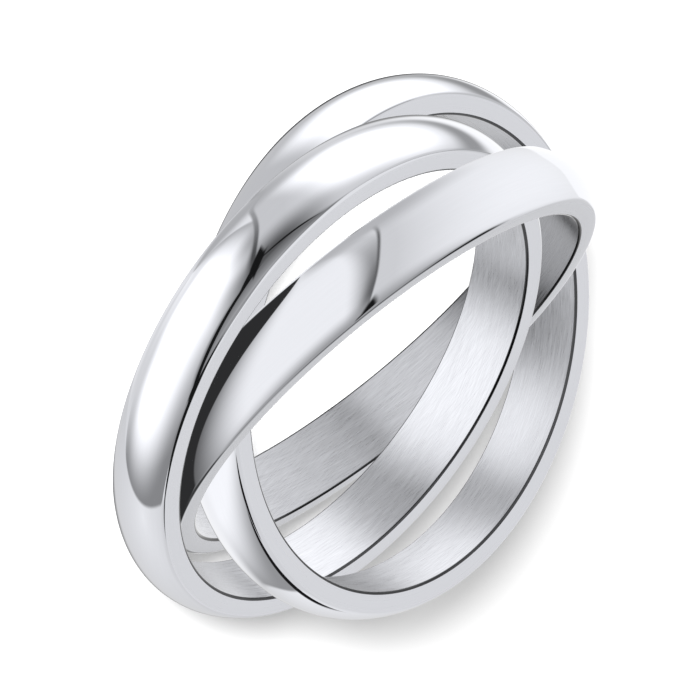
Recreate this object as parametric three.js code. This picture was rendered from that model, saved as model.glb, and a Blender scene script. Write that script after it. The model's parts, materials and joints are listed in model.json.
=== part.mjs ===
// A rolling ring: three equal half-round steel bands, each linked through the other two.
// It lies on its side, as it comes to rest on a table. Millimetres, +Z up, and the origin is
// on the table under the middle of the ring.
import * as THREE from 'three';

// One band. All three are turned to the same section.
const FINGER_DIAMETER = 20;
const BAND_WIDTH = 3;
const EDGE_WALL = 1;          // wall at the flat side faces
const CROWN_WALL = 1.45;      // wall at the middle of the dome
const OUTER_BEVEL = 0.12;     // between a side face and the dome
const INNER_BEVEL = 0.15;     // between a side face and the finger wall
const DOME_STEPS = 6;
const TURN_STEPS = 96;

// How each band lies. lean is the angle of its axis from upright, and bearing is the compass
// direction, from +X towards +Y, that the axis leans to, which is also its low side. A band
// with no height rests on the table on that side; the level one is carried by the other two.
const BANDS = [
  { name: 'middle_band', x: 0.9, y: -1.41, height: 4.97, lean: 3.9, bearing: -70.9 },
  { name: 'front_band', x: -0.47, y: -0.1, height: null, lean: 20.6, bearing: 35.4 },
  { name: 'rear_band', x: -1.17, y: 1.67, height: null, lean: 20.35, bearing: -133.8 },
];

const innerRadius = FINGER_DIAMETER / 2;
const edgeRadius = innerRadius + EDGE_WALL;
const halfWidth = BAND_WIDTH / 2;
const flatRadius = edgeRadius - OUTER_BEVEL;

function domePoints() {
  const rise = CROWN_WALL - EDGE_WALL;
  const halfChord = halfWidth - OUTER_BEVEL;
  const radius = (rise * rise + halfChord * halfChord) / (2 * rise);
  const halfAngle = Math.asin(halfChord / radius);
  const centre = edgeRadius + rise - radius;
  const points = [];
  for (let i = 0; i <= DOME_STEPS; i += 1) {
    const angle = halfAngle * (1 - (2 * i) / DOME_STEPS);
    points.push(new THREE.Vector2(centre + radius * Math.cos(angle), radius * Math.sin(angle)));
  }
  return points;
}

// The section, as (radius, height along the axis), closed on itself.
function bandSection() {
  const wallHalf = halfWidth - INNER_BEVEL;
  const bevelRadius = innerRadius + INNER_BEVEL;
  const start = new THREE.Vector2(innerRadius, wallHalf);
  return [
    start,
    new THREE.Vector2(bevelRadius, halfWidth),
    new THREE.Vector2(flatRadius, halfWidth),
    ...domePoints(),
    new THREE.Vector2(flatRadius, -halfWidth),
    new THREE.Vector2(bevelRadius, -halfWidth),
    new THREE.Vector2(innerRadius, -wallHalf),
    start.clone(),
  ].reverse();
}

// The turned section has a flat of the faceted rim, not a corner, on its low side.
function bandGeometry() {
  return new THREE.LatheGeometry(bandSection(), TURN_STEPS, Math.PI / TURN_STEPS);
}

// Height of a leaning band's centre when the rim of its lower side face is on the table.
function restingHeight(lean) {
  const flatReach = flatRadius * Math.cos(Math.PI / TURN_STEPS);
  return flatReach * Math.sin(lean) + halfWidth * Math.cos(lean);
}

// Turns a band's axis from +Y to where it leans, with its +Z side downhill.
function leaningFrame(lean, bearing) {
  const east = Math.cos(bearing);
  const north = Math.sin(bearing);
  const axis = new THREE.Vector3(east * Math.sin(lean), north * Math.sin(lean), Math.cos(lean));
  const downhill = new THREE.Vector3(east * Math.cos(lean), north * Math.cos(lean), -Math.sin(lean));
  const across = new THREE.Vector3().crossVectors(axis, downhill);
  return new THREE.Matrix4().makeBasis(across, axis, downhill);
}

function polishedSteel() {
  return new THREE.MeshStandardMaterial({ color: 0xc9cbcf, roughness: 0.12, metalness: 1 });
}

function makeBand({ name, x, y, height, lean, bearing }) {
  const leanAngle = THREE.MathUtils.degToRad(lean);
  const bearingAngle = THREE.MathUtils.degToRad(bearing);
  const band = new THREE.Mesh(bandGeometry(), polishedSteel());
  band.name = name;
  band.quaternion.setFromRotationMatrix(leaningFrame(leanAngle, bearingAngle));
  band.position.set(x, y, height ?? restingHeight(leanAngle));
  return band;
}

const ring = new THREE.Group();
for (const row of BANDS) {
  ring.add(makeBand(row));
}

export default ring;
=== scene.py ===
"""A three-band rolling ring: three half-round steel bands, each linked through the other two."""
import json
import math
from typing import NamedTuple

import bpy
import numpy as np
from mathutils import Matrix, Vector

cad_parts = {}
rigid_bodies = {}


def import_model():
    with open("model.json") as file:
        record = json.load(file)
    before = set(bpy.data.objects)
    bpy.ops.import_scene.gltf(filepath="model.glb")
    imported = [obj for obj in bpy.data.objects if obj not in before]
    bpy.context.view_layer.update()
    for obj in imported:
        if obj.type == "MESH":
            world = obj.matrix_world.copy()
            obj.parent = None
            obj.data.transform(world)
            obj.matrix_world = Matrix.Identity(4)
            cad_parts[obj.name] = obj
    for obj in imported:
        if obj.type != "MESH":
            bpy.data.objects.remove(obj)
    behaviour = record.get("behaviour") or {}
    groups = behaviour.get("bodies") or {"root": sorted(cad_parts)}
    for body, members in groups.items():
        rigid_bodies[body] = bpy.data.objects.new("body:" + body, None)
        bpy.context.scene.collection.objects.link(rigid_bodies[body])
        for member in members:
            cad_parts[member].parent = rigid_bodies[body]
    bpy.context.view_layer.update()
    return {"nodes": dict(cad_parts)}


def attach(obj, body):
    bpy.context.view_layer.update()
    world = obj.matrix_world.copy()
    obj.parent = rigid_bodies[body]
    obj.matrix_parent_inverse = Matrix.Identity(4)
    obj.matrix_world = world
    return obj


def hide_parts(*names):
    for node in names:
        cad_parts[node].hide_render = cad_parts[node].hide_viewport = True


bl_info = {
    "name": "Rolling Ring",
    "version": (1, 0, 0),
    "blender": (4, 5, 0),
    "location": "3D View > Sidebar > Rolling Ring",
    "description": "Turns, polishes and lights the three bands of a rolling ring",
    "category": "Add Mesh",
}

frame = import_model()

MM = 0.001
FULL_TURN, HALF_TURN, QUARTER_TURN = 2 * math.pi, math.pi, math.pi / 2
BODY_OF_BAND = {"middle_band": "middle", "front_band": "front", "rear_band": "rear"}
UV_NAME = "Turned"
SHADER = "Principled BSDF"
# Points of the section this close to a cut are on it, and turned points this close are one.
CUT_THRESHOLD = 1e-5 * MM
WELD_DISTANCE = 1e-3 * MM
# A face is flat on to a direction when its normal is within about two degrees of it.
FLAT = math.cos(math.radians(2))

# Material slots of a band, in order.
DOME, SIDE, EDGE, INNER_EDGE, FINGER_WALL = range(5)
# Outer faces whose normals rise further than this from level are bevels, not the dome.
BEVEL_RISE = math.sin(math.radians(45))

# A tent is painted by direction and not by its faces, so it needs only a few of them.
TENT_SEGMENTS, TENT_RINGS = 48, 24
# Round its core, a card fades in a shape between an ellipse and a box.
CORE_SQUARENESS = 2.5
NEAR_CLIP = 10 * MM


class Card(NamedTuple):
    """A softbox, reflector or black flag on a tent's wall, as seen from the band. Degrees."""

    azimuth: float
    elevation: float
    half_width: float
    half_height: float
    core: float               # brightness at the core
    rim: float = None         # brightness at the outline, when that differs
    lean: float = 0           # how far its top is pushed along, for each degree of height
    squareness: float = 5     # 1 is a diamond, 2 an ellipse, and more is a rounded box
    edge: float = 1           # half the width of its soft outline
    reach: float = 0          # how far out the core goes, as a share, before it fades
    falloff: float = 1.7      # 1 fades evenly, and more keeps the core's brightness for longer
    across: float = 0         # how far along and how far up the core is off the middle
    up: float = 0


# Each band's tent: how bright its bare wall is, and what hangs on it, from back to front.
# Azimuth 0 is the camera's side and grows to the ring's own right. Elevation is measured from
# the band's own level.
TENTS = {
    "middle_band": (0.90, (
        Card(30, -30, 66, 120, 0.80, 0.28, squareness=6, edge=2, falloff=1.2, across=-20),
        Card(28, -45, 45, 55, 1.60, squareness=3, edge=22),
        Card(84, -78, 46, 26, 0.76, squareness=3, edge=14),
        Card(32, -88, 70, 17, 1.06, 0.86, squareness=3, edge=7, falloff=1),
        Card(158, -8, 66, 56, 0.98, 0.70, squareness=4, falloff=0.6, across=-60),
        Card(-28, -18, 11, 13, 0.40, lean=0.33, squareness=2, edge=11),
        Card(-20, 6, 4, 20, 0.02, lean=0.3, squareness=1.5, edge=3),
        Card(-86.5, -14, 62.8, 58, 0.05, 0.36, lean=0.33, squareness=4, edge=0.8,
             falloff=1, across=60, up=20),
        Card(-86.5, -14, 60, 56, 0.86, 0.66, lean=0.33, squareness=4, edge=0.8, reach=0.3,
             falloff=1.4, across=-14, up=-4),
        Card(-87, -20, 28, 33, 1.60, squareness=3, edge=12),
        Card(-100, -88, 66, 25, 0.49, squareness=3, edge=11),
        Card(-132, -8, 7, 32, 0.36, squareness=2, edge=5),
        Card(-156, -20, 17, 22, 1.10, squareness=3, edge=6),
        Card(-26, 26, 24, 24, 0.10, squareness=2, edge=19),
        Card(-12, 48, 62, 22, 0.40, 0.18, squareness=2, edge=3, reach=0.2, falloff=1.5, up=4),
        Card(-18.5, 17, 4.5, 15, 0.01, lean=0.35, squareness=1.1),
        Card(-36, 24.5, 3, 8, 0.01, lean=-2.1, squareness=2),
        Card(-14, 21.5, 4, 9, 0.01, lean=1.1, squareness=2),
        Card(16, 33.4, 11, 8, 0.01, lean=3.9, squareness=2.5, edge=0.8),
        Card(44, 48, 9, 13, 0.01, lean=0.9, squareness=2.5, edge=1.5),
        Card(92, 64, 62, 14, 0.01, lean=-1.2, squareness=2.5, edge=2),
        Card(118, 47, 14, 8, 0.03, lean=-1.4, squareness=2, edge=2),
        Card(180, 38, 36, 20, 0.80, squareness=3, edge=5),
        Card(180, -41, 25, 15, 0.26, squareness=2, edge=6),
    )),
    "front_band": (1.0, (
        Card(-80, -90, 90, 32, 0.50, 0.95, squareness=4, edge=10),
        Card(94, -40, 62, 92, 0.10, lean=0.45, squareness=3, edge=22),
        Card(80, -40, 46, 72, 0.03, lean=0.75, squareness=3, edge=0.8),
        Card(-31, 12, 8.5, 62, 0.01, 0.28, lean=0.19, squareness=4, edge=8, falloff=1, up=40),
        Card(-102.5, 20, 74, 92, 0.14, lean=0.19, squareness=3.5, edge=0.8),
        Card(-102.5, 20, 72.5, 90, 1.04, 0.72, lean=0.19, squareness=3.5, edge=0.8, reach=0.1,
             falloff=1.6, across=-9, up=-20),
        Card(-105, -88, 60, 36, 0.54, squareness=3, edge=15),
        Card(-170, -8, 24, 17, 1.10, squareness=3),
        Card(-30, 88, 170, 40, 0.40, squareness=8, edge=14),
        Card(-24, 62, 7, 18, 0.01, lean=0.2, squareness=1.2, edge=2),
        Card(178, 78, 75, 12, 0.14, squareness=4, edge=4),
        Card(-134, 58, 24, 10, 0.02, edge=4),
        Card(116, 63, 16, 10, 0.30, edge=4),
        Card(130, 40, 14, 10, 0.05, edge=4),
        Card(112, -22, 29, 26, 0.60, squareness=2.5, edge=4),
        Card(178, 26, 26, 17, 0.70, squareness=3, edge=5),
    )),
    "rear_band": (0.75, (
        Card(60, -20, 97, 60, 0.34, lean=-1.6, squareness=8),
        Card(58, -10, 42, 90, 1.10, lean=-0.8, squareness=8, edge=22),
        Card(3, -46, 66, 24, 0.35, squareness=4, edge=6),
        Card(136, -56, 44, 16, 1.02, squareness=2.5, edge=8),
        Card(-14, -42, 30, 24, 1.60, squareness=2.5, edge=16),
        Card(175, -5, 46, 37, 0.98, 0.75, squareness=3, falloff=1, across=-46),
        Card(88, 30, 14, 11, 0.01, lean=-0.5, squareness=4, edge=1),
        Card(119, 2.5, 6, 14, 0.01, lean=-1.9, squareness=4, edge=1),
        Card(-100, -25, 60, 55, 0.60, squareness=5, edge=5),
        Card(-92, -12, 29, 36, 1.50, squareness=3, edge=12),
        Card(-136, -22, 7, 16, 0.34, squareness=2, edge=5),
        Card(-160, -28, 16, 18, 1.10, squareness=3, edge=5),
        Card(-173, 42, 34, 22, 0.80, squareness=3, edge=5),
        Card(-162, -49, 21, 15, 0.08, squareness=2, edge=6),
    )),
}


# ---------------------------------------------------------------- settings


class BandSettings(bpy.types.PropertyGroup):
    """Sizes of one band's section, which all three share."""

    finger_radius: bpy.props.FloatProperty(
        name="Finger radius", description="From the axis to the finger wall",
        default=10 * MM, unit="LENGTH")
    width: bpy.props.FloatProperty(
        name="Width", description="From side face to side face", default=3 * MM, unit="LENGTH")
    dome_edge: bpy.props.FloatProperty(
        name="Dome edge wall", description="Wall where the dome's arc ends",
        default=1 * MM, unit="LENGTH")
    dome_chord: bpy.props.FloatProperty(
        name="Dome chord", description="Width of the dome's arc",
        default=2.76 * MM, unit="LENGTH")
    crown_wall: bpy.props.FloatProperty(
        name="Crown wall", description="Wall at the middle of the dome",
        default=1.45 * MM, unit="LENGTH")
    outer_cut: bpy.props.FloatProperty(
        name="Outer bevel", description="Finger wall to where the outer bevel meets a side face",
        default=0.86 * MM, unit="LENGTH")
    inner_cut: bpy.props.FloatProperty(
        name="Inner bevel", description="Finger wall to where the inner bevel meets a side face",
        default=0.085 * MM, unit="LENGTH")
    bevel_angle: bpy.props.FloatProperty(
        name="Bevel angle", description="Steepness of the bevels, from level with the wall",
        default=math.radians(55), subtype="ANGLE")
    outer_ease: bpy.props.FloatProperty(
        name="Outer ease", description="Rounding between the outer bevel and a side face",
        default=0.06 * MM, unit="LENGTH")
    inner_ease: bpy.props.FloatProperty(
        name="Inner ease", description="Rounding at both ends of the inner bevel",
        default=0.03 * MM, unit="LENGTH")
    disc_steps: bpy.props.IntProperty(
        name="Dome fineness", description="Sides of the whole circle that the dome is an arc of",
        default=180)
    ease_steps: bpy.props.IntProperty(
        name="Edge fineness", description="Cuts that round each edge", default=4)
    turn_steps: bpy.props.IntProperty(
        name="Turn fineness", description="Steps of the section round the band", default=512)


class FinishSettings(bpy.types.PropertyGroup):
    """The steel, and how each face of a band is finished."""

    steel: bpy.props.FloatVectorProperty(
        name="Steel", description="Colour of clean, polished steel", subtype="COLOR",
        default=(0.845, 0.856, 0.9), min=0, max=1)
    dome_roughness: bpy.props.FloatProperty(
        name="Dome roughness", description="Mirror polish", default=0.03, subtype="FACTOR")
    side_roughness: bpy.props.FloatProperty(
        name="Side roughness", description="Fine turning", default=0.30, subtype="FACTOR")
    edge_roughness: bpy.props.FloatProperty(
        name="Edge roughness", description="Polished bevels", default=0.06, subtype="FACTOR")
    # Painted shade: the inner bevels' steel colour is scaled down to this share, so they show as
    # dark lines of shade and dark reflection.
    inner_edge_shade: bpy.props.FloatProperty(
        name="Inner edge shade", description="How light the inner bevels are, next to the steel",
        default=0.1, subtype="FACTOR")
    wall_roughness: bpy.props.FloatProperty(
        name="Wall roughness", description="Brushing", default=0.32, subtype="FACTOR")
    wall_grain: bpy.props.FloatProperty(
        name="Wall grain", description="How strongly the brushing stretches reflections",
        default=0.6, subtype="FACTOR")
    stroke_length: bpy.props.FloatProperty(
        name="Stroke length", description="Usual length of a brush stroke",
        default=1.6 * MM, unit="LENGTH")
    stroke_width: bpy.props.FloatProperty(
        name="Stroke width", description="Usual width of a brush stroke",
        default=0.04 * MM, unit="LENGTH")
    stroke_depth: bpy.props.FloatProperty(
        name="Stroke depth", description="Height of the ridges between strokes",
        default=0.005 * MM, unit="LENGTH")


class StageSettings(bpy.types.PropertyGroup):
    """The camera and lights round the ring."""

    elevation: bpy.props.FloatProperty(
        name="Elevation", description="Camera's angle above the table",
        default=math.radians(26.72), subtype="ANGLE")
    roll: bpy.props.FloatProperty(
        name="Roll", description="Camera's turn about its own line of sight",
        default=math.radians(123.17), subtype="ANGLE")
    distance: bpy.props.FloatProperty(
        name="Distance", description="From the camera to the point it looks at",
        default=237.6 * MM, unit="LENGTH")
    aim: bpy.props.FloatVectorProperty(
        name="Aim", description="The point the camera looks at",
        default=(-0.164 * MM, -1.229 * MM, 5.1 * MM), subtype="TRANSLATION")
    lens: bpy.props.FloatProperty(
        name="Lens", description="Focal length on a 36 mm sensor, in millimetres", default=299.1)
    tent_radius: bpy.props.FloatProperty(
        name="Tent radius", description="Size of the innermost light tent",
        default=2, unit="LENGTH")
    tent_step: bpy.props.FloatProperty(
        name="Tent step", description="How much larger each next tent is",
        default=0.1, unit="LENGTH")
    floor_size: bpy.props.FloatProperty(
        name="Floor size", description="Side of the square table", default=8, unit="LENGTH")
    floor_colour: bpy.props.FloatVectorProperty(
        name="Floor colour", description="The white table", subtype="COLOR",
        default=(0.82, 0.82, 0.82), min=0, max=1)
    sky_strength: bpy.props.FloatProperty(
        name="Sky strength", description="Even light on the table", default=0.62)
    key_power: bpy.props.FloatProperty(
        name="Key power", description="Light that throws the soft shadows", default=30,
        unit="POWER")
    key_size: bpy.props.FloatProperty(
        name="Key size", description="Width of the key light; a wide one is softer",
        default=0.14, unit="LENGTH")
    key_place: bpy.props.FloatVectorProperty(
        name="Key place", description="Where the key light hangs",
        default=(-0.055, -0.922, 0.375), subtype="TRANSLATION")
    fill_power: bpy.props.FloatProperty(
        name="Fill power", description="Light on the table inside the ring", default=1.5,
        unit="POWER")
    fill_angle: bpy.props.FloatProperty(
        name="Fill angle", description="Width of the fill light's cone",
        default=math.radians(5.4), subtype="ANGLE")
    fill_softness: bpy.props.FloatProperty(
        name="Fill softness", description="How much of the fill light's cone fades out",
        default=0.5, subtype="FACTOR")
    fill_place: bpy.props.FloatVectorProperty(
        name="Fill place", description="Where the fill light hangs",
        default=(-0.002, 0.008, 0.2), subtype="TRANSLATION")
    fill_aim: bpy.props.FloatVectorProperty(
        name="Fill aim", description="The point of the table that the fill light points at",
        default=(-0.002, 0.008, 0), subtype="TRANSLATION")


# ---------------------------------------------------------------- modelling helpers


def deselect_all():
    if bpy.context.object and bpy.context.object.mode != "OBJECT":
        bpy.ops.object.mode_set(mode="OBJECT")
    bpy.ops.object.select_all(action="DESELECT")


def make_active(piece):
    deselect_all()
    piece.select_set(True)
    bpy.context.view_layer.objects.active = piece


def place_of(node):
    """Where a band lies, from its frame node: local +Z is the band's axis."""
    points = np.array([v.co for v in node.data.vertices])
    centre = (points.min(axis=0) + points.max(axis=0)) / 2
    spread = (points - centre).T @ (points - centre)
    axis = Vector(np.linalg.eigh(spread)[1][:, 0])
    if axis.z < 0:
        axis.negate()
    return Matrix.Translation(centre) @ axis.to_track_quat("Z", "Y").to_matrix().to_4x4()


def cut_away(point, outward):
    """Cuts the selected face by a plane across the section and keeps the inner side."""
    bpy.ops.mesh.select_all(action="SELECT")
    bpy.ops.mesh.bisect(
        plane_co=point, plane_no=outward, clear_outer=True, threshold=CUT_THRESHOLD)


def ease_corner(corner, leg, first, last, steps):
    """Rounds a corner of the section with cuts whose normals turn from first to last."""
    # The cuts touch a circle that meets both sides of the corner a leg away from it.
    half_bend = (last - first) / 2
    radius = leg / math.tan(abs(half_bend))
    reach = radius / math.cos(half_bend)
    middle = (first + last) / 2
    centre = (corner[0] - reach * math.cos(middle), corner[1] - reach * math.sin(middle))
    for step in range(steps):
        angle = first + (last - first) * (step + 1) / (steps + 1)
        outward = (math.cos(angle), 0, math.sin(angle))
        cut_away((centre[0] + radius * outward[0], 0, centre[1] + radius * outward[2]), outward)


def section_outline(size):
    """A band's section in the XZ plane, as a closed line: x is the radius, z the way across."""
    half_width, half_chord = size.width / 2, size.dome_chord / 2
    rise = size.crown_wall - size.dome_edge
    dome_radius = (rise ** 2 + half_chord ** 2) / (2 * rise)
    crown = size.finger_radius + size.crown_wall
    deselect_all()
    bpy.ops.mesh.primitive_circle_add(
        vertices=size.disc_steps, radius=dome_radius, fill_type="NGON", calc_uvs=False,
        location=(crown - dome_radius, 0, 0), rotation=(QUARTER_TURN, 0, 0))
    bpy.ops.object.transform_apply(location=True, rotation=True, scale=True)
    bpy.ops.object.mode_set(mode="EDIT")
    cut_away((size.finger_radius, 0, 0), (-1, 0, 0))
    bevel, back_bevel = size.bevel_angle, HALF_TURN - size.bevel_angle
    wall_end = half_width - size.inner_cut / math.tan(bevel)
    for side in (1, -1):
        outer_corner = (size.finger_radius + size.outer_cut, side * half_width)
        inner_corner = (size.finger_radius + size.inner_cut, side * half_width)
        wall_corner = (size.finger_radius, side * wall_end)
        for corner, angle in (
                (outer_corner, QUARTER_TURN), (outer_corner, bevel), (inner_corner, back_bevel)):
            outward = (math.cos(angle), 0, side * math.sin(angle))
            cut_away((corner[0], 0, corner[1]), outward)
        for corner, leg, first, last in (
                (outer_corner, size.outer_ease, bevel, QUARTER_TURN),
                (inner_corner, size.inner_ease, QUARTER_TURN, back_bevel),
                (wall_corner, size.inner_ease, back_bevel, HALF_TURN)):
            ease_corner(corner, leg, side * first, side * last, size.ease_steps)
    bpy.ops.mesh.select_all(action="SELECT")
    bpy.ops.mesh.delete(type="ONLY_FACE")
    return bpy.context.object


def turn_section(size):
    """Spins the section once round the axis and closes the seam."""
    bpy.ops.mesh.select_all(action="SELECT")
    bpy.ops.mesh.spin(
        steps=size.turn_steps, angle=FULL_TURN, center=(0, 0, 0), axis=(0, 0, 1))
    bpy.ops.mesh.select_all(action="SELECT")
    bpy.ops.mesh.remove_doubles(threshold=WELD_DISTANCE)
    bpy.ops.mesh.normals_make_consistent(inside=False)
    bpy.ops.object.mode_set(mode="OBJECT")


def numbers(collection, name, width=1):
    """One attribute of every item of a mesh collection, as an array."""
    found = np.empty(len(collection) * width)
    collection.foreach_get(name, found)
    return found.reshape(-1, width) if width > 1 else found


def share_out_surfaces(mesh):
    """Gives each face its finish by the way it looks out from the section."""
    centre, normal = numbers(mesh.polygons, "center", 3), numbers(mesh.polygons, "normal", 3)
    outward = (centre[:, :2] * normal[:, :2]).sum(axis=1) / np.hypot(*centre[:, :2].T)
    rise = np.abs(normal[:, 2])
    finish = np.where(rise > BEVEL_RISE, EDGE, DOME)
    finish[outward < 0] = INNER_EDGE
    finish[rise > FLAT] = SIDE
    finish[outward < -FLAT] = FINGER_WALL
    mesh.polygons.foreach_set("material_index", finish)


def add_turned_map(mesh, size):
    """A UV map: U runs once round the band, and V across the face that a corner is on."""
    sides = numbers(mesh.polygons, "loop_total").astype(int)
    spots = numbers(mesh.vertices, "co", 3)[numbers(mesh.loops, "vertex_index").astype(int)]
    centre = numbers(mesh.polygons, "center", 3)
    face_turn = np.repeat(np.arctan2(centre[:, 1], centre[:, 0]), sides) / FULL_TURN
    turn = np.arctan2(spots[:, 1], spots[:, 0]) / FULL_TURN
    turn += np.round(face_turn - turn)
    on_side = np.repeat(numbers(mesh.polygons, "material_index") == SIDE, sides)
    depth = (np.hypot(spots[:, 0], spots[:, 1]) - size.finger_radius) / size.crown_wall
    across = np.where(on_side, depth, spots[:, 2] / size.width + 0.5)
    layer = mesh.uv_layers.new(name=UV_NAME)
    layer.uv.foreach_set("vector", np.stack((turn + 0.5, across), axis=1).ravel().astype("f4"))


# ---------------------------------------------------------------- shader helpers


def place(tree, kind, inputs=None, **settings):
    """Adds a node, sets its options, and links or sets each named or numbered input."""
    node = tree.nodes.new("ShaderNode" + kind)
    for name, value in settings.items():
        setattr(node, name, value)
    for key, value in (inputs or {}).items():
        if isinstance(value, bpy.types.NodeSocket):
            tree.links.new(value, node.inputs[key])
        else:
            node.inputs[key].default_value = value
    return node


def maths(tree, operation, *values):
    """A Math node on these sockets or numbers. Returns its result."""
    return place(tree, "Math", dict(enumerate(values)), operation=operation).outputs[0]


def mix(tree, factor, low, high, data_type="FLOAT"):
    """A Mix node on numbers or, with RGBA, on colours. Returns its result."""
    # Each kind of data has sockets of its own on the node.
    first, result = {"FLOAT": (2, 0), "RGBA": (6, 2)}[data_type]
    return place(tree, "Mix", {0: factor, first: low, first + 1: high},
                 data_type=data_type).outputs[result]


def new_group(name, takes, gives):
    """An empty node group of numbers. Returns it, its inputs and the end of its one output."""
    group = bpy.data.node_groups.new(name, "ShaderNodeTree")
    for label, value in takes.items():
        socket = group.interface.new_socket(
            label, in_out="INPUT", socket_type="NodeSocketFloat")
        socket.default_value = value
    group.interface.new_socket(gives, in_out="OUTPUT", socket_type="NodeSocketFloat")
    given = group.nodes.new("NodeGroupInput").outputs
    return group, given, group.nodes.new("NodeGroupOutput").inputs[0]


def rounded_reach(tree, x, y, power):
    """How far out a point is in a rounded box: 1 on its outline."""
    parts = [maths(tree, "POWER", maths(tree, "ABSOLUTE", side), power) for side in (x, y)]
    return maths(tree, "POWER", maths(tree, "ADD", *parts), maths(tree, "DIVIDE", 1.0, power))


def socket_name(field):
    return field.replace("_", " ").title()


def build_card_group():
    """One card over what is behind it: its outline, and how bright it is across."""
    takes = ["Behind", "Toward Azimuth", "Toward Elevation", *map(socket_name, Card._fields)]
    group, given, end = new_group("Card", dict.fromkeys(takes, 0.0), "Light")
    y = maths(group, "SUBTRACT", given["Toward Elevation"], given["Elevation"])
    x = maths(group, "SUBTRACT", given["Toward Azimuth"], given["Azimuth"])
    x = maths(group, "SUBTRACT", x, maths(group, "MULTIPLY", given["Lean"], y))
    x = maths(group, "WRAP", x, 180.0, -180.0)
    width, height = given["Half Width"], given["Half Height"]
    outline = rounded_reach(
        group, maths(group, "DIVIDE", x, width), maths(group, "DIVIDE", y, height),
        given["Squareness"])
    soft = maths(group, "DIVIDE", given["Edge"], maths(group, "MINIMUM", width, height))
    mask = place(group, "MapRange", {
        "Value": outline, "From Min": maths(group, "SUBTRACT", 1.0, soft),
        "From Max": maths(group, "ADD", 1.0, soft), "To Min": 1.0, "To Max": 0.0},
        interpolation_type="SMOOTHSTEP").outputs[0]
    off_core = rounded_reach(
        group, maths(group, "DIVIDE", maths(group, "SUBTRACT", x, given["Across"]), width),
        maths(group, "DIVIDE", maths(group, "SUBTRACT", y, given["Up"]), height),
        CORE_SQUARENESS)
    fade = place(group, "MapRange", {
        "Value": off_core, "From Min": given["Reach"], "From Max": 1.0}).outputs[0]
    fade = maths(group, "POWER", fade, given["Falloff"])
    own = mix(group, fade, given["Core"], given["Rim"])
    group.links.new(mix(group, mask, given["Behind"], own), end)
    return group


def build_stroke_group(size):
    """Brushed or turned strokes that run round the band without a seam. Millimetres."""
    group, given, end = new_group("Strokes", {
        "Length": 1.0, "Width": 0.1, "Slant": 0.0, "Seed": 0.0,
        "Face Width": size.width / MM, "Radius": size.finger_radius / MM}, "Height")
    turned = place(group, "UVMap", uv_map=UV_NAME)
    place_on = place(group, "SeparateXYZ", {0: turned.outputs[0]})
    angle = maths(group, "MULTIPLY", place_on.outputs[0], FULL_TURN)
    along = [maths(group, "MULTIPLY", maths(group, way, angle), given["Radius"])
             for way in ("COSINE", "SINE")]
    across = maths(group, "MULTIPLY", place_on.outputs[1], given["Face Width"])
    across = maths(group, "ADD", across, maths(group, "MULTIPLY", along[0], given["Slant"]))
    across = maths(group, "DIVIDE", across, given["Width"])
    x, y = (maths(group, "DIVIDE", part, given["Length"]) for part in along)
    spot = place(group, "CombineXYZ", {
        0: x, 1: y, 2: maths(group, "ADD", across, given["Seed"])})
    noise = place(group, "TexNoise", {
        "Vector": spot.outputs[0], "Scale": 1.0, "Detail": 3.0, "Roughness": 0.6})
    group.links.new(noise.outputs[0], end)
    return group


def start_material(name, **constants):
    """A material whose shader's own sockets are set. Returns it, its tree and its shader."""
    material = bpy.data.materials.new(name)
    material.use_nodes = True
    shader = material.node_tree.nodes[SHADER]
    for socket, value in constants.items():
        shader.inputs[socket.replace("_", " ")].default_value = value
    return material, material.node_tree, shader


def between(tree, value, low, high, spread):
    """Stretches a noise value, which stays within spread of the middle, to a range."""
    return place(tree, "MapRange", {
        "Value": value, "From Min": 0.5 - spread, "From Max": 0.5 + spread,
        "To Min": low, "To Max": high}).outputs[0]


def shade_of(colour, share):
    return (*(share * channel for channel in colour), 1)


def lay_strokes(tree, group, *layers):
    """Marks on a face: one layer of strokes, or the mean of two that cross."""
    heights = [place(tree, "Group", layer, node_tree=group).outputs[0] for layer in layers]
    if len(heights) == 1:
        return heights[0]
    return maths(tree, "MULTIPLY", maths(tree, "ADD", *heights), 0.5)


# ---------------------------------------------------------------- finishes


def steel_surface(name, steel, roughness, strokes, *layers, shades=(0.97, 1.0), spread=0.2,
                  uneven=0.4, ridges=0, **constants):
    """Steel whose marks change its roughness and shade, and stand up as ridges if asked.

    The shades are shares of the steel's colour. Spread is how far the marks' noise strays from
    its middle, and uneven is how much they change the roughness, as a share of it.
    """
    material, tree, shader = start_material(name, Metallic=1.0, **constants)
    marks = lay_strokes(tree, strokes, *layers)
    rough = between(tree, marks, (1 - uneven) * roughness, (1 + uneven) * roughness, spread)
    dark, light = (shade_of(steel, share) for share in shades)
    colour = mix(tree, between(tree, marks, 0.0, 1.0, spread), dark, light, "RGBA")
    tree.links.new(rough, shader.inputs["Roughness"])
    tree.links.new(colour, shader.inputs["Base Color"])
    if ridges:
        bump = place(tree, "Bump", {"Height": marks, "Strength": 1.0, "Distance": ridges})
        tree.links.new(bump.outputs[0], shader.inputs["Normal"])
    return material


def polished_dome(strokes, finish):
    """A mirror finish with the faint marks of the polishing wheel."""
    return steel_surface(
        "mirror polished dome", finish.steel, finish.dome_roughness, strokes,
        {"Length": 1.5, "Width": 0.08, "Seed": 4.0}, shades=(0.985, 1.0), uneven=0.2)


def satin_side(strokes, finish, face_width):
    """A fine turned finish on the flat sides."""
    return steel_surface(
        "satin turned side", finish.steel, finish.side_roughness, strokes,
        {"Length": 6.0, "Width": 0.03, "Face Width": face_width / MM, "Seed": 9.0},
        shades=(0.97, 0.99), uneven=0.1)


def polished_edge(strokes, finish):
    """The narrow polished bevels beside the dome."""
    return steel_surface(
        "polished bevel", finish.steel, finish.edge_roughness, strokes,
        {"Length": 2.0, "Width": 0.05, "Seed": 2.0})


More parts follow.
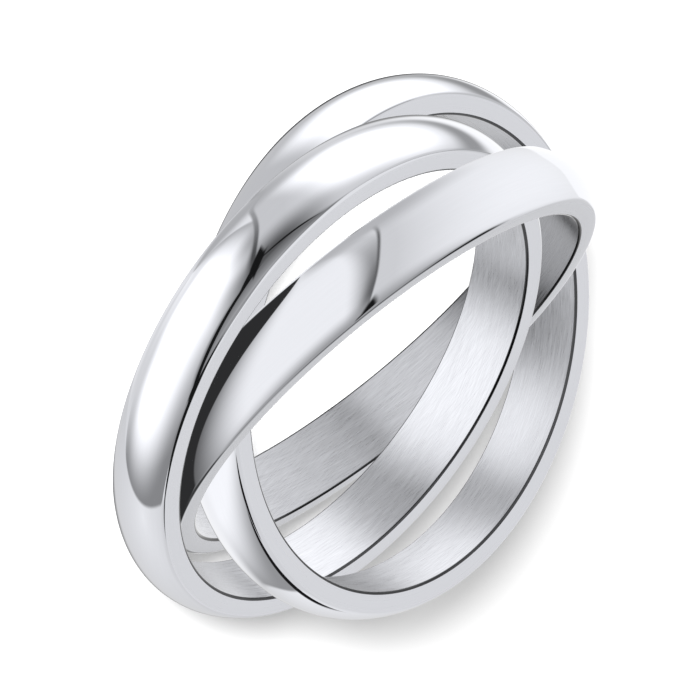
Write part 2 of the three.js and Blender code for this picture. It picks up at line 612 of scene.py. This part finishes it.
def painted_shade_inner_edge(strokes, finish):
    """The narrow bevels at the ends of the finger wall, darkened as painted shade so they show
    as dark lines.
    """
    shade = finish.inner_edge_shade
    return steel_surface(
        "painted shade inner bevel", finish.steel, finish.edge_roughness, strokes,
        {"Length": 2.0, "Width": 0.05, "Seed": 5.0}, shades=(0.8 * shade, 1.2 * shade))


def brushed_wall(strokes, finish):
    """The finger wall, brushed round by hand in strokes that cross a little, its steel darkened
    overall as painted shade.
    """
    length, width = finish.stroke_length / MM, finish.stroke_width / MM
    # Painted shade: the wall's steel is darkened overall, to between 0.59 and 0.83 of its
    # colour, for the shade and the reflections of the other bands inside the ring; the spread
    # between the two shades is the strokes' own tone.
    material = steel_surface(
        "brushed finger wall", finish.steel, finish.wall_roughness, strokes,
        {"Length": length, "Width": width, "Slant": 0.1},
        {"Length": 0.5 * length, "Width": 0.8 * width, "Slant": -0.22, "Seed": 7.0},
        shades=(0.59, 0.83), spread=0.14, uneven=0.2, ridges=finish.stroke_depth,
        Anisotropic=finish.wall_grain, Anisotropic_Rotation=0.25)
    tree = material.node_tree
    tangent = place(tree, "Tangent", direction_type="UV_MAP", uv_map=UV_NAME)
    tree.links.new(tangent.outputs[0], tree.nodes[SHADER].inputs["Tangent"])
    return material


def add_finishes(mesh, finish, size):
    """Fills the band's material slots, in the order of their names above."""
    strokes = build_stroke_group(size)
    for surface in (
            polished_dome(strokes, finish), satin_side(strokes, finish, size.crown_wall),
            polished_edge(strokes, finish), painted_shade_inner_edge(strokes, finish),
            brushed_wall(strokes, finish)):
        mesh.materials.append(surface)


# ---------------------------------------------------------------- stage helpers


def own_frame(axis):
    """A band's own directions: local +Z is its axis and local -Y its side nearest the camera."""
    back = Vector((0, 1, 0))
    back = (back - back.dot(axis) * axis).normalized()
    return Matrix((back.cross(axis), back, axis)).transposed().to_4x4()


def light_only(lamp, receiver):
    """Lets a lamp or a glowing tent light one object and nothing else."""
    lit = bpy.data.collections.new(lamp.name)
    lit.objects.link(receiver)
    lamp.light_linking.receiver_collection = lit


def paint_tent(name, wall_light, cards, card_group):
    """A see-through material that glows as the wall and its cards do, by direction."""
    material = bpy.data.materials.new(name)
    material.use_nodes = True
    material.cycles.emission_sampling = "NONE"
    tree = material.node_tree
    tree.nodes.clear()
    spot = place(tree, "TexCoord").outputs["Object"]
    spot = place(tree, "VectorMath", {0: spot}, operation="NORMALIZE").outputs[0]
    x, y, z = place(tree, "SeparateXYZ", {0: spot}).outputs
    azimuth = maths(tree, "ARCTAN2", x, maths(tree, "MULTIPLY", y, -1.0))
    toward = {"Toward Azimuth": maths(tree, "DEGREES", azimuth),
              "Toward Elevation": maths(tree, "DEGREES", maths(tree, "ARCSINE", z))}
    light = wall_light
    for card in cards:
        if card.rim is None:
            card = card._replace(rim=card.core)
        values = {socket_name(field): value for field, value in card._asdict().items()}
        light = place(tree, "Group", {"Behind": light, **toward, **values},
                      node_tree=card_group).outputs[0]
    glow = place(tree, "Emission", {"Color": light}).outputs[0]
    clear = place(tree, "BsdfTransparent").outputs[0]
    both = place(tree, "AddShader", {0: glow, 1: clear}).outputs[0]
    place(tree, "OutputMaterial", {"Surface": both})
    return material


def hang_tent(piece, node_name, radius, card_group):
    """A tent that lights one band only."""
    deselect_all()
    bpy.ops.mesh.primitive_uv_sphere_add(
        segments=TENT_SEGMENTS, ring_count=TENT_RINGS, radius=radius)
    tent = bpy.context.object
    tent.name = node_name.replace("_band", "_tent")
    axis = place_of(frame["nodes"][node_name]).to_3x3().col[2]
    tent.matrix_world = own_frame(axis)
    tent.data.materials.append(paint_tent(tent.name, *TENTS[node_name], card_group))
    tent.visible_camera = tent.visible_diffuse = tent.visible_shadow = False
    light_only(tent, piece)


def steel_name(node_name):
    return node_name.replace("_band", "_steel_band")


# ---------------------------------------------------------------- operators


class RING_OT_bands(bpy.types.Operator):
    """Turns one band and lays a copy of it at each of the three places"""

    bl_idname = "rolling_ring.bands"
    bl_label = "Add Bands"

    def execute(self, context):
        size = context.scene.ring_band
        band = section_outline(size)
        turn_section(size)
        share_out_surfaces(band.data)
        add_turned_map(band.data, size)
        make_active(band)
        bpy.ops.object.shade_smooth()
        bpy.ops.object.modifier_add(type="WEIGHTED_NORMAL")
        bpy.ops.object.modifier_apply(modifier=band.modifiers[0].name)
        add_finishes(band.data, context.scene.ring_finish, size)
        for name, body in BODY_OF_BAND.items():
            piece = band.copy()
            piece.data = band.data.copy()
            piece.name = piece.data.name = steel_name(name)
            context.collection.objects.link(piece)
            make_active(piece)
            piece.matrix_world = place_of(frame["nodes"][name])
            bpy.ops.object.transform_apply(location=True, rotation=True, scale=True)
            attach(piece, body)
            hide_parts(name)
        bpy.data.objects.remove(band)
        return {"FINISHED"}


class RING_OT_stage(bpy.types.Operator):
    """Lays the pale floor and sets the lights and the camera"""

    bl_idname = "rolling_ring.stage"
    bl_label = "Set Stage"

    def execute(self, context):
        stage = context.scene.ring_stage
        floor = self.lay_floor(stage)
        self.light_floor(context, stage, floor)
        cards = build_card_group()
        for step, name in enumerate(BODY_OF_BAND):
            piece = bpy.data.objects[steel_name(name)]
            hang_tent(piece, name, stage.tent_radius + step * stage.tent_step, cards)
            piece.visible_glossy = False
        self.set_camera(context, stage)
        context.scene.view_settings.view_transform = "Standard"
        return {"FINISHED"}

    def lay_floor(self, stage):
        deselect_all()
        bpy.ops.mesh.primitive_plane_add(size=stage.floor_size)
        floor = bpy.context.object
        floor.name = "floor"
        floor.data.materials.append(start_material(
            "white table", Base_Color=(*stage.floor_colour, 1), Roughness=0.9,
            Specular_IOR_Level=0)[0])
        floor.visible_glossy = False
        return floor

    def light_floor(self, context, stage, floor):
        world = bpy.data.worlds.new("sky")
        world.use_nodes = True
        sky = world.node_tree.nodes["Background"]
        sky.inputs["Color"].default_value = (1, 1, 1, 1)
        sky.inputs["Strength"].default_value = stage.sky_strength
        world.cycles_visibility.glossy = False
        context.scene.world = world
        key = self.hang_lamp(context, "key", "AREA", stage.key_power, stage.key_place)
        key.data.shape, key.data.size = "DISK", stage.key_size
        fill = self.hang_lamp(
            context, "fill", "SPOT", stage.fill_power, stage.fill_place, stage.fill_aim)
        fill.data.spot_size, fill.data.spot_blend = stage.fill_angle, stage.fill_softness
        fill.data.use_shadow = False
        light_only(fill, floor)

    def hang_lamp(self, context, name, kind, power, place_at, aim=(0, 0, 0)):
        data = bpy.data.lights.new(name, kind)
        data.energy = power
        lamp = bpy.data.objects.new(name, data)
        lamp.location = place_at
        lamp.rotation_euler = (Vector(aim) - lamp.location).to_track_quat("-Z", "Y").to_euler()
        lamp.visible_glossy = False
        context.collection.objects.link(lamp)
        return lamp

    def set_camera(self, context, stage):
        forward = Vector((0, math.cos(stage.elevation), -math.sin(stage.elevation)))
        level = Vector((1, 0, 0))
        turned = Matrix((level, level.cross(forward), -forward)).transposed().to_4x4()
        data = bpy.data.cameras.new("camera")
        data.lens = stage.lens
        data.clip_start = NEAR_CLIP
        camera = bpy.data.objects.new("camera", data)
        context.collection.objects.link(camera)
        camera.matrix_world = (
            Matrix.Translation(Vector(stage.aim) - forward * stage.distance)
            @ turned @ Matrix.Rotation(stage.roll, 4, "Z"))
        context.scene.camera = camera


class RING_PT_panel(bpy.types.Panel):
    """The ring's sizes and the steps that make it"""

    bl_idname = "RING_PT_panel"
    bl_label = "Rolling Ring"
    bl_space_type = "VIEW_3D"
    bl_region_type = "UI"
    bl_category = "Rolling Ring"

    def draw(self, context):
        scene = context.scene
        for settings in (scene.ring_band, scene.ring_finish, scene.ring_stage):
            box = self.layout.box()
            for name in settings.__annotations__:
                box.prop(settings, name)
        for operator in (RING_OT_bands, RING_OT_stage):
            self.layout.operator(operator.bl_idname)


CLASSES = (BandSettings, FinishSettings, StageSettings, RING_OT_bands, RING_OT_stage,
           RING_PT_panel)


def register():
    for cls in CLASSES:
        bpy.utils.register_class(cls)
    bpy.types.Scene.ring_band = bpy.props.PointerProperty(type=BandSettings)
    bpy.types.Scene.ring_finish = bpy.props.PointerProperty(type=FinishSettings)
    bpy.types.Scene.ring_stage = bpy.props.PointerProperty(type=StageSettings)


def unregister():
    del bpy.types.Scene.ring_stage
    del bpy.types.Scene.ring_finish
    del bpy.types.Scene.ring_band
    for cls in reversed(CLASSES):
        bpy.utils.unregister_class(cls)


def main():
    register()
    bpy.ops.rolling_ring.bands()
    bpy.ops.rolling_ring.stage()


if __name__ == "__main__":
    main()
